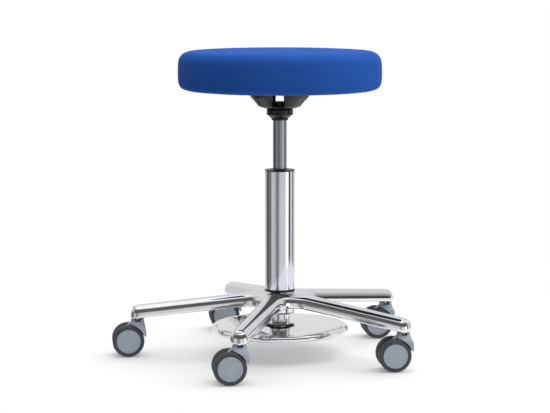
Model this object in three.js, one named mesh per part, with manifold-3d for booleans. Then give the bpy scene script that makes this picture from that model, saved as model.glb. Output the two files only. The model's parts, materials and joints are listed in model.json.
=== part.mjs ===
// A dentist stool: a round padded seat on a gas-spring column, released by a round foot plate,
// on a five-arm cast base with twin-wheel castors. Millimetres, +Z up, the floor at z = 0.
// The origin is the middle of the footprint, on the floor.
import * as THREE from 'three';
import { mergeVertices } from 'three/addons/utils/BufferGeometryUtils.js';
import Module from 'manifold-3d';

const wasm = await Module();
wasm.setup();

// ---- driving dimensions ----
const seatGap = 0.3; // between pieces that touch
const runGap = 0.3; // radial, between pieces that turn or slide in each other

// castors
const wheelRadius = 32.5;
const wheelWidth = 18;
const wheelGap = 17.4; // between the two wheels' inner faces
const tyreThickness = 8.1;
const castorTrail = 19.7;
const castorYaw = 6.7; // degrees; every castor stands turned the same way
const castorAxleRadius = 3;
const castorStemRadius = 5.5;
const castorStemFootRadius = 4;
const castorStemGrip = 20; // length of the stem in the base's socket
const castorStemReach = 17; // length of the stem in the hood
const hoodRise = 10.6; // the hood's top over the wheels
const hoodNeckRadius = 13.2;
const hoodSideInset = 0.7; // from the wheels' outer faces
const hoodGuardWall = 2.3;
const hoodLipRise = 9.5; // the guard's lip over the axle
const hoodClearance = 1.4; // between hood and tread
const hoodWebRoom = 1.7; // between the hood's web and a wheel
const hoodWebInset = 5.5; // of the web's edge from the tread
const prySlotWidth = 11; // notch across the neck, where a lever lifts the castor out
const prySlotDepth = 4.8;
const swivelGap = 0.9; // between hood and base
const hubCapRadius = wheelRadius - tyreThickness;
const hoodTopHeight = 2 * wheelRadius + hoodRise;
const hoodLipHeight = wheelRadius + hoodLipRise;
const hoodWidth = wheelGap + 2 * (wheelWidth - hoodSideInset);
const hoodReach = wheelRadius + hoodClearance + hoodGuardWall - castorTrail; // from the swivel axis
const hoodWebThickness = wheelGap - 2 * hoodWebRoom;
const hoodWebRadius = wheelRadius - hoodWebInset;

// base
const armCount = 5;
const firstArmAngle = 254.72; // degrees from +X
const castorCircleRadius = 291.5;
const armSlope = 0.108; // fall of an arm's top per mm of reach
const armEndRise = 27.6; // an arm's top over the socket's mouth, at its castor
const armDepth = 26;
const armEndWidth = 37;
const armEndOverhang = 14.5; // reach of an arm past its castor's axis
const armRootWidth = 44;
const armWall = 5;
const armEdgeRadius = 4;
const armFilletRadius = 37;
const socketWall = 5;
const socketBottomHeight = hoodTopHeight + swivelGap;
const armTopAtAxis = socketBottomHeight + armEndRise + armSlope * castorCircleRadius;
const hubDrop = 3.8; // the hub's top under the arms' top lines, where they meet the column axis
const hubHeight = 46.8;
const hubWebDepth = 31.3; // of the web's underside, from the hub's top
const hubWebThickness = 4;
const hubTopHeight = armTopAtAxis - hubDrop;
const hubBottomHeight = hubTopHeight - hubHeight;
const hubWebHeight = hubTopHeight - hubWebDepth;

// gas spring
const pressureTubeRadius = 14;
const pressureTubeWall = 1.5;
const lift = 90; // travel of the seat
const rodRadius = 5;
const bearingWidth = 8; // radial
const bearingHeight = 7;
const clipWidth = 4; // radial
const clipThickness = 2.4;
const pistonGap = 0.5;
const pistonHeight = 12;
const bearingRadius = rodRadius + bearingWidth;
const clipRadius = rodRadius + clipWidth;
const hubWebHoleRadius = rodRadius + clipWidth;
const rodEndHeight = hubWebHeight + hubWebThickness - 0.5;
const pistonRadius = pressureTubeRadius - pressureTubeWall - pistonGap;

// seat
const seatTopHeight = 622.5;
const seatThickness = 80.3;
const seatRadius = 205;
const seatTopEdge = 24; // rounding of the upper edge
const seatBottomEdge = 16;
const seatShoulder = 55; // width of the ring round the flat middle of the top
const seatCrown = 2.5; // fall of the top from its flat middle to the edge rounding
const coverSkin = 1.5;
const coverHem = 23; // width of the cover turned in under the board
const boardThickness = 14;
const boardInset = 17; // of the board's edge from the seat's
const seatBottomHeight = seatTopHeight - seatThickness;
const seatFlatRadius = seatRadius - seatShoulder;
const boardRadius = seatRadius - boardInset;
const coverHemRadius = boardRadius - coverHem;

// seat mount
const bracketRise = 38.2; // from the collar's top to the board
const bracketWall = 4;
const bracketRimRadius = 84;
const bracketRimWidth = 16;
const bracketSlotWidth = 24;
const bracketSlotCount = 4;
const bracketSlotTurn = -4; // degrees from the front
const bowlShape = [[0, 0], [0.264, 0.1], [0.556, 0.445], [0.75, 0.677], [1, 1]]; // shares outwards and up
const screwRadius = 3;
const screwHeadRadius = 5.5;
const screwHeadHeight = 3.3;
const screwLength = 16;
const screwRimGap = 9; // from the screws' circle to the rim
const spigotWall = 6;
const spigotCollar = 9.2; // part of the spigot that stands above the bracket's floor
const spigotShoulder = 12; // flat ring of the bracket round the spigot
const collarWall = 13;
const collarLowWall = 4.6;
const collarConeHeight = 7;
const collarHeight = 19.5; // from the buffer to the bracket
const tubeDrop = 4.5; // the pressure tube's end under the collar's top
const bufferWall = 3;
const bufferHeight = 4.5;
const bracketTopHeight = seatBottomHeight + coverSkin;
const collarTopHeight = bracketTopHeight - bracketRise;
const bufferBottomHeight = collarTopHeight - collarHeight - bufferHeight;
const pressureTubeTop = collarTopHeight - tubeDrop;
const bufferRadius = pressureTubeRadius + bufferWall;
const collarLowRadius = pressureTubeRadius + collarLowWall;
const collarRadius = pressureTubeRadius + collarWall;
const spigotRadius = pressureTubeRadius + spigotWall;
const bracketBottomRadius = spigotRadius + spigotShoulder;
const screwCircleRadius = bracketRimRadius - screwRimGap;

// column
const standpipeRadius = 25;
const standpipeWall = 2;
const standpipeFloor = 3;
const coverRoom = 3; // radial, between standpipe and cover
const coverWall = 2;
const trimRingStep = 0.75; // the black rings stand proud of the cover
const trimRingHeight = 3.6;
const capHeight = 4;
const bushLength = 70;
const bushCollar = 1.5; // height of the trim cap's chamfer
const stopGap = 8.5; // left between cap and buffer when the seat is at its lowest
const coverRadius = standpipeRadius + coverRoom + coverWall;
const trimRingRadius = coverRadius + trimRingStep;
const hubRadius = coverRadius;
const coverBottomHeight = hubTopHeight + trimRingHeight + 2 * seatGap;
const coverTopHeight = bufferBottomHeight - lift - stopGap - capHeight;

// foot release
const plateRadius = 140;
const plateBeadRadius = 6.2;
const plateTopHeight = 60.2;
const plateBeadDrop = 5.7; // the bead's middle under the plate's top
const plateThickness = 3;
const sleeveRadius = 20.5;
const sleeveWall = 3;
const sleeveRoom = 6.5; // over the sleeve, up to the hub's web
const sleeveLipHeight = 3;
const sleeveLipWidth = 4.5;
const sleeveFlangeWidth = 6.5;
const sleeveFlangeHeight = 4;
const retainerWidth = 4.5;
const retainerEarLength = 5;
const retainerHeight = 2;
const leverPivotOffset = 4.5;
const leverTipGap = 0.8; // between the lever's tip and the sleeve's wall
const leverTail = 5; // past the pivot on the other side, beyond the axis
const leverWidth = 8;
const leverDepth = 5;
const pivotPinRadius = 2;
const lugThickness = 4;
const lugWidth = 6.4;
const releasePinRadius = 2;
const releasePinDepth = 22; // length of the pin inside the rod
const plateBeadHeight = plateTopHeight - plateBeadDrop;
const sleeveTopHeight = hubWebHeight - sleeveRoom;
const sleeveLipRadius = sleeveRadius - sleeveWall - sleeveLipWidth;
const sleeveFlangeRadius = sleeveRadius + sleeveFlangeWidth;
const retainerRadius = sleeveRadius + retainerWidth;
const retainerEarRadius = retainerRadius + retainerEarLength;

// segments around a full turn
const fine = 36;
const medium = 20;
const coarse = 12;
const wheelSides = 16;

// ---- materials ----
const material = (color, roughness, metalness) =>
  new THREE.MeshStandardMaterial({ color, roughness, metalness });
const polished = material(0xc9ccd0, 0.12, 1);
const brushed = material(0xb4b7ba, 0.3, 1);
const steel = material(0x9a9da1, 0.35, 1);
const blackPlastic = material(0x101114, 0.4, 0);
const blackEnamel = material(0x0c0d10, 0.2, 0.3);
const blueLeather = material(0x1f4fa8, 0.45, 0);
const foamYellow = material(0xd8cf9a, 0.95, 0);
const blackPly = material(0x191715, 0.7, 0);
const greyPlastic = material(0x8f98a1, 0.5, 0);
const tyreGrey = material(0x3f4248, 0.7, 0);

// ---- helpers ----
const radians = THREE.MathUtils.degToRad;

// One closed surface from any geometry: shared corners, no empty faces, faces pointing out.
function closed(geometry) {
  let shape = geometry.clone();
  for (const name of Object.keys(shape.attributes)) {
    if (name !== 'position') shape.deleteAttribute(name);
  }
  shape = mergeVertices(shape, 1e-3);
  const at = shape.attributes.position;
  const faces = [];
  const [a, b, c] = [new THREE.Vector3(), new THREE.Vector3(), new THREE.Vector3()];
  let volume = 0;
  for (let i = 0; i < shape.index.count; i += 3) {
    const corner = [0, 1, 2].map((k) => shape.index.getX(i + k));
    if (new Set(corner).size < 3) continue;
    faces.push(corner);
    a.fromBufferAttribute(at, corner[0]);
    b.fromBufferAttribute(at, corner[1]);
    c.fromBufferAttribute(at, corner[2]);
    volume += a.dot(b.cross(c)) / 6;
  }
  shape.setIndex((volume < 0 ? faces.map((f) => f.reverse()) : faces).flat());
  return shape;
}

function solid(geometry) {
  const shape = closed(geometry);
  return new wasm.Manifold(new wasm.Mesh({
    numProp: 3,
    vertProperties: new Float32Array(shape.attributes.position.array),
    triVerts: new Uint32Array(shape.index.array),
  }));
}

function geometryOf(manifold) {
  const mesh = manifold.getMesh();
  const geometry = new THREE.BufferGeometry();
  geometry.setAttribute('position', new THREE.BufferAttribute(mesh.vertProperties, 3));
  geometry.setIndex(new THREE.BufferAttribute(mesh.triVerts, 1));
  return geometry;
}

const join = (...parts) => parts.reduce((sum, part) => sum.add(part));
const cut = (from, ...tools) => tools.reduce((left, tool) => left.subtract(tool), from);

// A turned shape about +Z; outline points are [radius, height].
function turned(outline, sides) {
  const points = outline.map(([radius, height]) => new THREE.Vector2(radius, height));
  return new THREE.LatheGeometry(points, sides).rotateX(Math.PI / 2);
}

function ring(outer, inner, low, high, sides) {
  return turned([[inner, low], [outer, low], [outer, high], [inner, high], [inner, low]], sides);
}

function bar(radius, low, high, sides) {
  return turned([[0, low], [radius, low], [radius, high], [0, high]], sides);
}

// Points on an arc in an outline's plane, angles in degrees.
function arc(x, y, radius, from, to, steps) {
  return Array.from({ length: steps + 1 }, (_, i) => {
    const angle = radians(from + ((to - from) * i) / steps);
    return [x + radius * Math.cos(angle), y + radius * Math.sin(angle)];
  });
}

// An outline in X and Z, extruded both ways along Y to the given width.
function sideExtrusion(outline, width) {
  const shape = new THREE.Shape(outline.map(([x, z]) => new THREE.Vector2(x, z)));
  const geometry = new THREE.ExtrudeGeometry(shape, { depth: width, bevelEnabled: false });
  return geometry.translate(0, 0, -width / 2).rotateX(Math.PI / 2);
}

const stool = new THREE.Group(); // about the column axis
function add(name, geometry, finish, parent = stool) {
  const mesh = new THREE.Mesh(closed(geometry), finish);
  mesh.name = name;
  parent.add(mesh);
  return mesh;
}

// ---- cast base ----
const armAngle = (k) => firstArmAngle + (360 / armCount) * k;

// Plan outline of the five arms, drawn in by an inset: rounded ends and hollow corners between arms.
function starOutline(inset) {
  const endHalf = armEndWidth / 2 - inset;
  const rootHalf = armRootWidth / 2 - inset;
  const taper = (rootHalf - endHalf) / castorCircleRadius;
  const lean = Math.hypot(1, taper);
  const half = radians(180 / armCount);
  const fillet = armFilletRadius + inset;
  const reach = (rootHalf + fillet * lean) / (Math.sin(half) + taper * Math.cos(half));
  const tilt = THREE.MathUtils.radToDeg(Math.atan(taper));
  const points = [];
  for (let k = 0; k < armCount; k += 1) {
    const turn = armAngle(k);
    const overhang = (armEndOverhang - inset) / endHalf;
    const round = arc(0, 0, endHalf * lean, -90 + tilt, 90 - tilt, 6)
      .map(([x, y]) => [castorCircleRadius + x * overhang, y]);
    const side = 180 / armCount;
    const [cx, cy] = [reach * Math.cos(half), reach * Math.sin(half)];
    const corner = arc(cx, cy, fillet, 270 - tilt, 180 + side, 3)
      .concat(arc(cx, cy, fillet, 180 + side, 90 + 2 * side + tilt, 3).slice(1));
    for (const [x, y] of round.concat(corner)) {
      points.push(new THREE.Vector2(x, y).rotateAround(new THREE.Vector2(), radians(turn)));
    }
  }
  return new THREE.Shape(points);
}

// Lowers a flat slab so that its top follows the arms' straight fall.
function droop(geometry, topAtAxis) {
  const at = geometry.attributes.position;
  for (let i = 0; i < at.count; i += 1) {
    const reach = Math.hypot(at.getX(i), at.getY(i));
    at.setZ(i, at.getZ(i) + topAtAxis - armSlope * reach);
  }
  return geometry;
}

function starSlab(inset, low, high, edge) {
  const geometry = new THREE.ExtrudeGeometry(starOutline(inset), {
    depth: high - low - edge,
    bevelEnabled: edge > 0,
    bevelThickness: edge,
    bevelSize: edge,
    bevelOffset: -edge,
    bevelSegments: 2,
  });
  return geometry.translate(0, 0, low);
}

function starBase() {
  const outer = solid(droop(starSlab(0, -armDepth, 0, armEdgeRadius), armTopAtAxis));
  const squareOff = solid(droop(starSlab(-1, -armDepth - armEdgeRadius - 1, -armDepth, 0), armTopAtAxis));
  const hollow = solid(droop(starSlab(armWall, -armDepth - 1, -armWall, 0), armTopAtAxis));
  const hubShoulder = armTopAtAxis - armSlope * (hubRadius + 12);
  const hub = solid(turned([
    [0, hubBottomHeight],
    [hubRadius - 1, hubBottomHeight],
    [hubRadius, hubBottomHeight + 1],
    [hubRadius, hubTopHeight - 14],
    [hubRadius + 12, hubShoulder - 2],
    [hubRadius + 3, hubTopHeight - 1.2],
    [hubRadius, hubTopHeight],
    [0, hubTopHeight],
  ], fine));
  let base = cut(outer, squareOff, hollow);
  base = join(base, hub);
  const pipeBore = solid(bar(
    standpipeRadius + seatGap, hubWebHeight + hubWebThickness, hubTopHeight + 1, medium,
  ));
  const sleeveBore = solid(bar(sleeveRadius + runGap, hubBottomHeight - 1, hubWebHeight, medium));
  const webHole = solid(bar(
    hubWebHoleRadius, hubWebHeight - 1, hubWebHeight + hubWebThickness + 1, coarse,
  ));
  base = cut(base, pipeBore, sleeveBore, webHole);
  for (let k = 0; k < armCount; k += 1) {
    const place = (shape) => solid(
      shape.translate(castorCircleRadius, 0, 0).rotateZ(radians(armAngle(k))),
    );
    const roof = armTopAtAxis - armSlope * castorCircleRadius - armWall / 2;
    const boss = place(bar(castorStemRadius + socketWall, socketBottomHeight, roof, medium));
    const bore = place(bar(
      castorStemRadius + seatGap, socketBottomHeight - 1,
      socketBottomHeight + castorStemGrip + seatGap, coarse,
    ));
    base = cut(join(base, boss), bore);
  }
  return cut(join(base, ...pivotLugs()), pivotHole());
}

// Two lugs under the hub's web carry the release lever's pivot.
const leverTop = sleeveTopHeight - sleeveLipHeight - seatGap;
const pivotHeight = leverTop - leverDepth / 2;
function pivotLugs() {
  return [-1, 1].map((side) => {
    const high = hubWebHeight + hubWebThickness / 2;
    const low = pivotHeight - lugWidth / 2;
    const lug = new THREE.BoxGeometry(lugWidth, lugThickness, high - low);
    const y = side * (leverWidth / 2 + runGap + lugThickness / 2);
    return solid(lug.translate(leverPivotOffset, y, (high + low) / 2));
  });
}
function pivotHole() {
  const width = leverWidth + 4 * lugThickness;
  return solid(sideExtrusion(
    arc(leverPivotOffset, pivotHeight, pivotPinRadius + runGap, 0, 330, 11), width,
  ));
}
add('star_base', geometryOf(starBase()), polished);

// ---- castors ----
function castorStem() {
  return turned([
    [0, hoodTopHeight - castorStemReach],
    [castorStemFootRadius, hoodTopHeight - castorStemReach],
    [castorStemFootRadius, hoodTopHeight - prySlotDepth + seatGap],
    [castorStemRadius, hoodTopHeight - prySlotDepth + seatGap],
    [castorStemRadius, socketBottomHeight + castorStemGrip - 1],
    [castorStemRadius - 1, socketBottomHeight + castorStemGrip],
    [0, socketBottomHeight + castorStemGrip],
  ], coarse);
}

// The hood: a neck on the swivel axis, a rib between the wheels and a guard over the tread.
function castorHood() {
  const inner = wheelRadius + hoodClearance;
  const under = arc(-castorTrail, wheelRadius, inner, 78, 16, 6);
  const lipX = -castorTrail + Math.sqrt(inner ** 2 - (hoodLipHeight - wheelRadius) ** 2);
  const guardOutline = [
    ...under.filter(([x]) => x < lipX),
    [hoodReach, hoodLipHeight],
    [hoodNeckRadius + 1.2, hoodTopHeight - 10],
    [hoodNeckRadius, hoodTopHeight],
    [-hoodNeckRadius, hoodTopHeight],
  ];
  const guard = solid(sideExtrusion(guardOutline, hoodWidth));
  const shoulder = solid(turned([
    [0, 0],
    [hoodWidth, 0],
    [hoodWidth, hoodTopHeight - 25],
    [hoodWidth / 2 + 6, hoodTopHeight - 16],
    [hoodNeckRadius + 4, hoodTopHeight - 8],
    [hoodNeckRadius, hoodTopHeight - 4],
    [hoodNeckRadius, hoodTopHeight - 1],
    [hoodNeckRadius - 1, hoodTopHeight],
    [0, hoodTopHeight],
  ], medium));
  const ribSide = arc(-castorTrail, wheelRadius, hoodWebRadius, 0, 360, 12).slice(0, -1);
  const rib = solid(sideExtrusion(ribSide, hoodWebThickness));
  const bridge = solid(sideExtrusion([
    [-castorTrail, wheelRadius],
    [hoodReach - 4, hoodLipHeight],
    [hoodNeckRadius - 1, hoodTopHeight - 6],
    [-hoodNeckRadius, hoodTopHeight - 6],
    [-castorTrail - 8, wheelRadius + 24],
  ], hoodWebThickness));
  const neck = solid(bar(hoodNeckRadius, hoodTopHeight - 15, hoodTopHeight, medium));
  const wheelRoom = [-1, 1].map((side) => {
    const room = sideExtrusion(
      arc(-castorTrail, wheelRadius, inner, 0, 360, 20).slice(0, -1), wheelWidth + 6,
    );
    const y = side * (hoodWebThickness / 2 + (wheelWidth + 6) / 2);
    return solid(room.translate(0, y, 0));
  });
  const stemBore = solid(bar(
    castorStemFootRadius + runGap, hoodTopHeight - castorStemReach - 1, hoodTopHeight, coarse,
  ));
  const stemRoom = solid(bar(
    castorStemRadius + runGap, hoodTopHeight - prySlotDepth, hoodTopHeight + 1, coarse,
  ));
  const prySlot = new THREE.BoxGeometry(prySlotWidth, hoodWidth, 2 * prySlotDepth);
  const pry = solid(prySlot.translate(0, 0, hoodTopHeight));
  const axleBore = solid(sideExtrusion(
    arc(-castorTrail, wheelRadius, castorAxleRadius + seatGap, 0, 330, 11), hoodWidth,
  ));
  const hood = join(guard, neck).intersect(shoulder);
  return cut(join(hood, rib, bridge), ...wheelRoom, stemBore, stemRoom, pry, axleBore);
}

// Wheel pieces are turned about +Z with the wheel's middle at z = 0 and its cap towards +Z.
const axleReach = wheelGap / 2 + wheelWidth - 4;
function wheelCore() {
  const half = wheelWidth / 2;
  const bore = castorAxleRadius + runGap;
  const boreTop = axleReach - wheelGap / 2 - half + 0.5;
  return turned([
    [0, boreTop],
    [bore, boreTop],
    [bore, -half],
    [hubCapRadius, -half],
    [hubCapRadius, half - 0.8],
    [hubCapRadius - 1, half],
    [0, half],
  ], wheelSides);
}
function wheelTyre() {
  const half = wheelWidth / 2;
  const inner = hubCapRadius + seatGap;
  return turned([
    [inner, -half],
    [wheelRadius - 4, -half],
    [wheelRadius - 0.8, -half + 3.4],
    [wheelRadius, 0],
    [wheelRadius - 0.8, half - 3.4],
    [wheelRadius - 4, half],
    [inner, half],
    [inner, -half],
  ], wheelSides);
}

for (let k = 0; k < armCount; k += 1) {
  const castor = new THREE.Group();
  const place = new THREE.Vector3(castorCircleRadius, 0, 0);
  castor.position.copy(place.applyAxisAngle(new THREE.Vector3(0, 0, 1), radians(armAngle(k))));
  castor.rotation.z = radians(castorYaw);
  stool.add(castor);
  const label = `castor_${k + 1}`;
  add(`${label}_stem`, castorStem(), steel, castor);
  add(`${label}_hood`, geometryOf(castorHood()), greyPlastic, castor);
  const axle = bar(castorAxleRadius, -axleReach, axleReach, 12).rotateX(Math.PI / 2);
  add(`${label}_axle`, axle.translate(-castorTrail, 0, wheelRadius), steel, castor);
  for (const [letter, side] of [['a', -1], ['b', 1]]) {
    const wheel = new THREE.Group();
    wheel.position.set(-castorTrail, (side * (wheelGap + wheelWidth)) / 2, wheelRadius);
    wheel.rotation.x = (-side * Math.PI) / 2;
    castor.add(wheel);
    add(`${label}_wheel_${letter}`, wheelCore(), greyPlastic, wheel);
    add(`${label}_tyre_${letter}`, wheelTyre(), tyreGrey, wheel);
  }
}

// ---- column ----
const pipeBottom = hubWebHeight + hubWebThickness + seatGap + clipThickness + 2 * seatGap;
const pipeInner = standpipeRadius - standpipeWall;
add('column_lower_ring', ring(
  trimRingRadius, standpipeRadius + seatGap, hubTopHeight + seatGap,
  coverBottomHeight - seatGap, medium,
), blackPlastic);
add('column_cover', ring(
  coverRadius, coverRadius - coverWall, coverBottomHeight, coverTopHeight - seatGap, fine,
), brushed);
add('standpipe', turned([
  [rodRadius + runGap, pipeBottom],
  [standpipeRadius, pipeBottom],
  [standpipeRadius, coverTopHeight - seatGap],
  [pipeInner, coverTopHeight - seatGap],
  [pipeInner, pipeBottom + standpipeFloor],
  [rodRadius + runGap, pipeBottom + standpipeFloor],
  [rodRadius + runGap, pipeBottom],
], medium), steel);
const capTop = coverTopHeight + capHeight;
add('column_cap', turned([
  [pressureTubeRadius + runGap, coverTopHeight - bushLength],
  [pipeInner - seatGap, coverTopHeight - bushLength],
  [pipeInner - seatGap, coverTopHeight],
  [trimRingRadius, coverTopHeight],
  [trimRingRadius, capTop - bushCollar],
  [trimRingRadius - bushCollar, capTop],
  [pressureTubeRadius + runGap, capTop],
  [pressureTubeRadius + runGap, coverTopHeight - bushLength],
], medium), blackPlastic);

// ---- gas spring ----
const bearingBottom = pipeBottom + standpipeFloor + seatGap;
const tubeBottom = bearingBottom + bearingHeight + lift + 12;
const tubeInner = pressureTubeRadius - pressureTubeWall;
const coneTop = pressureTubeRadius - 0.5; // the seat cone narrows a little to its top
const coneFoot = bufferBottomHeight + bufferHeight;
add('pressure_tube', turned([
  [tubeInner, tubeBottom],
  [pressureTubeRadius, tubeBottom],
  [pressureTubeRadius, coneFoot],
  [coneTop, pressureTubeTop],
  [0, pressureTubeTop],
  [0, pressureTubeTop - 6],
  [tubeInner, pressureTubeTop - 8],
  [tubeInner, tubeBottom],
], medium), brushed);
const pistonTop = tubeBottom + pistonHeight + 12;
const pinBoreTop = rodEndHeight + releasePinDepth;
add('piston_rod', turned([
  [releasePinRadius + runGap, rodEndHeight],
  [rodRadius, rodEndHeight],
  [rodRadius, pistonTop - pistonHeight],
  [pistonRadius, pistonTop - pistonHeight],
  [pistonRadius, pistonTop],
  [0, pistonTop],
  [0, pinBoreTop],
  [releasePinRadius + runGap, pinBoreTop],
  [releasePinRadius + runGap, rodEndHeight],
], medium), steel);
add('thrust_bearing', ring(
  bearingRadius, rodRadius + runGap, bearingBottom, bearingBottom + bearingHeight, medium,
), steel);
const clipBottom = hubWebHeight + hubWebThickness + 2 * seatGap;
add('rod_clip', ring(
  clipRadius, rodRadius + seatGap, clipBottom, clipBottom + clipThickness, coarse,
), steel);

// ---- seat mount ----
add('buffer_ring', turned([
  [pressureTubeRadius + seatGap, bufferBottomHeight],
  [bufferRadius - 1, bufferBottomHeight],
  [bufferRadius, bufferBottomHeight + 1],
  [bufferRadius, bufferBottomHeight + bufferHeight - seatGap],
  [pressureTubeRadius + seatGap, bufferBottomHeight + bufferHeight - seatGap],
  [pressureTubeRadius + seatGap, bufferBottomHeight],
], medium), blackPlastic);
const bracketBottom = collarTopHeight + seatGap;
const spigotTop = bracketBottom + bracketWall + spigotCollar;
const boreTop = coneTop + seatGap;
add('seat_collar', turned([
  [pressureTubeRadius + seatGap, coneFoot],
  [collarLowRadius, coneFoot],
  [collarRadius, coneFoot + collarConeHeight],
  [collarRadius, collarTopHeight],
  [spigotRadius, collarTopHeight],
  [spigotRadius, spigotTop],
  [boreTop, spigotTop],
  [boreTop, pressureTubeTop],
  [pressureTubeRadius + seatGap, coneFoot],
], medium), blackEnamel);

// A pressed bowl whose slots leave arms that spread to a flanged rim.
const bowlTopRadius = bracketRimRadius - bracketRimWidth;
const bowlOutline = bowlShape.map(([out, up]) => [
  bracketBottomRadius + out * (bowlTopRadius - bracketBottomRadius),
  bracketBottom + up * (bracketTopHeight - bracketWall - bracketBottom),
]);
function seatBracket() {
  const outside = [
    [spigotRadius + seatGap, bracketBottom],
    ...bowlOutline,
    [bracketRimRadius, bracketTopHeight - bracketWall],
    [bracketRimRadius, bracketTopHeight],
  ];
  const inside = bowlOutline.slice(1).reverse()
    .map(([radius, height]) => [radius - bracketWall * 0.75, height + bracketWall * 0.75]);
  const bowl = solid(turned([
    ...outside,
    [bowlOutline.at(-1)[0] - 1, bracketTopHeight],
    ...inside.slice(1),
    [bracketBottomRadius, bracketBottom + bracketWall],
    [spigotRadius + seatGap, bracketBottom + bracketWall],
    [spigotRadius + seatGap, bracketBottom],
  ], fine));
  const slots = [];
  const holes = [];
  for (let k = 0; k < bracketSlotCount; k += 1) {
    const turn = radians(-90 + bracketSlotTurn + (360 / bracketSlotCount) * k);
    const half = bracketSlotWidth / 2;
    const slotOutline = [
      ...arc(bracketBottomRadius + half + 1, 0, half, 90, 270, 8),
      [bracketRimRadius + 2, -half],
      [bracketRimRadius + 2, half],
    ].map(([x, y]) => new THREE.Vector2(x, y));
    const slot = new THREE.ExtrudeGeometry(
      new THREE.Shape(slotOutline), { depth: 60, bevelEnabled: false },
    );
    slots.push(solid(slot.translate(0, 0, bracketBottom - 5).rotateZ(turn)));
    const hole = bar(
      screwRadius + seatGap, bracketTopHeight - bracketWall - 1, bracketTopHeight + 1, 12,
    );
    const between = turn + radians(180 / bracketSlotCount);
    holes.push(solid(hole.translate(screwCircleRadius, 0, 0).rotateZ(between)));
  }
  return cut(bowl, ...slots, ...holes);
}
add('seat_bracket', geometryOf(seatBracket()), blackEnamel);

const boardBottom = bracketTopHeight + seatGap;
const headTop = bracketTopHeight - bracketWall - seatGap;
function seatScrew() {
  return turned([
    [0, headTop - screwHeadHeight],
    [screwHeadRadius - 1.5, headTop - screwHeadHeight],
    [screwHeadRadius, headTop - 1],
    [screwHeadRadius, headTop],
    [screwRadius, headTop],
    [screwRadius, headTop + screwLength - 1],
    [screwRadius - 1, headTop + screwLength],
    [0, headTop + screwLength],
  ], 12);
}
const screwTurn = (k) => radians(
  -90 + bracketSlotTurn + (360 / bracketSlotCount) * (k + 0.5),
);
for (let k = 0; k < bracketSlotCount; k += 1) {
  const screw = add(`seat_screw_${k + 1}`, seatScrew(), steel);
  screw.position.set(
    screwCircleRadius * Math.cos(screwTurn(k)), screwCircleRadius * Math.sin(screwTurn(k)), 0,
  );
}

// ---- seat ----
function seatBoard() {
  const disc = solid(bar(boardRadius, boardBottom, boardBottom + boardThickness, fine));
  const holes = Array.from({ length: bracketSlotCount }, (_, k) => {
    const top = headTop + screwLength + 1;
    const hole = bar(screwRadius + seatGap, boardBottom - 1, top, 12);
    return solid(hole.translate(screwCircleRadius, 0, 0).rotateZ(screwTurn(k)));
  });
  return cut(disc, ...holes);
}
add('seat_board', geometryOf(seatBoard()), blackPly);

// Outline of the upholstered seat from its lower edge up to the middle of the top, drawn in by an inset.
function cushionOutline(inset) {
  const side = seatRadius - inset;
  const low = seatBottomEdge - inset;
  const high = seatTopEdge - inset;
  const edgeTop = seatTopHeight - seatCrown;
  return [
    ...arc(side - low, seatBottomHeight + seatBottomEdge, low, -90, 0, 3),
    ...arc(side - high, edgeTop - seatTopEdge, high, 0, 90, 4),
    [seatFlatRadius, seatTopHeight - inset],
    [0, seatTopHeight - inset],
  ];
}
const coverFloor = seatBottomHeight;
add('seat_cover', turned([
  [coverHemRadius, coverFloor],
  ...cushionOutline(0),
  ...cushionOutline(coverSkin).reverse(),
  [coverHemRadius, coverFloor + coverSkin],
  [coverHemRadius, coverFloor],
], fine), blueLeather);
const foamBottom = boardBottom + boardThickness + seatGap;
const foamOutline = cushionOutline(coverSkin + seatGap).filter(([, height]) => height > foamBottom + 1);
add('seat_foam', turned([
  [0, foamBottom],
  [foamOutline[0][0] - 1, foamBottom],
  ...foamOutline,
], fine), foamYellow);

// ---- foot release ----
add('foot_disc', turned([
  [sleeveRadius + seatGap, plateTopHeight - plateThickness],
  [plateRadius - 2 * plateBeadRadius, plateTopHeight - plateThickness],
  ...arc(plateRadius - plateBeadRadius, plateBeadHeight, plateBeadRadius, 180, 415, 8),
  [plateRadius - 2 * plateBeadRadius + 2, plateTopHeight],
  [retainerEarRadius + 2, plateTopHeight],
  [sleeveRadius + seatGap, plateTopHeight],
  [sleeveRadius + seatGap, plateTopHeight - plateThickness],
], fine), polished);
const flangeTop = plateTopHeight - plateThickness - seatGap;
const sleeveInner = sleeveRadius - sleeveWall;
const flangeBottom = flangeTop - sleeveFlangeHeight;
add('release_sleeve', turned([
  [0, flangeBottom],
  [sleeveFlangeRadius, flangeBottom],
  [sleeveFlangeRadius, flangeTop],
  [sleeveRadius, flangeTop],
  [sleeveRadius, sleeveTopHeight],
  [sleeveLipRadius, sleeveTopHeight],
  [sleeveLipRadius, sleeveTopHeight - sleeveLipHeight],
  [sleeveInner, sleeveTopHeight - sleeveLipHeight],
  [sleeveInner, flangeTop],
  [0, flangeTop],
], medium), polished);

// A snap ring with two pairs of ears, in the sleeve's groove just over the plate.
function retainingRing() {
  const low = plateTopHeight + seatGap;
  const band = solid(ring(
    retainerRadius, sleeveRadius + seatGap, low, low + retainerHeight, medium,
  ));
  const ears = [0, 90, 180, 270].map((turn) => {
    const outline = [[retainerRadius - 2, -5], [retainerEarRadius, -1.2],
      [retainerEarRadius, 1.2], [retainerRadius - 2, 5]];
    const shape = new THREE.Shape(outline.map(([x, y]) => new THREE.Vector2(x, y)));
    const ear = new THREE.ExtrudeGeometry(shape, { depth: retainerHeight, bevelEnabled: false });
    return solid(ear.translate(0, 0, low).rotateZ(radians(turn)));
  });
  return join(band, ...ears);
}
add('retaining_ring', geometryOf(retainingRing()), blackEnamel);

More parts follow.
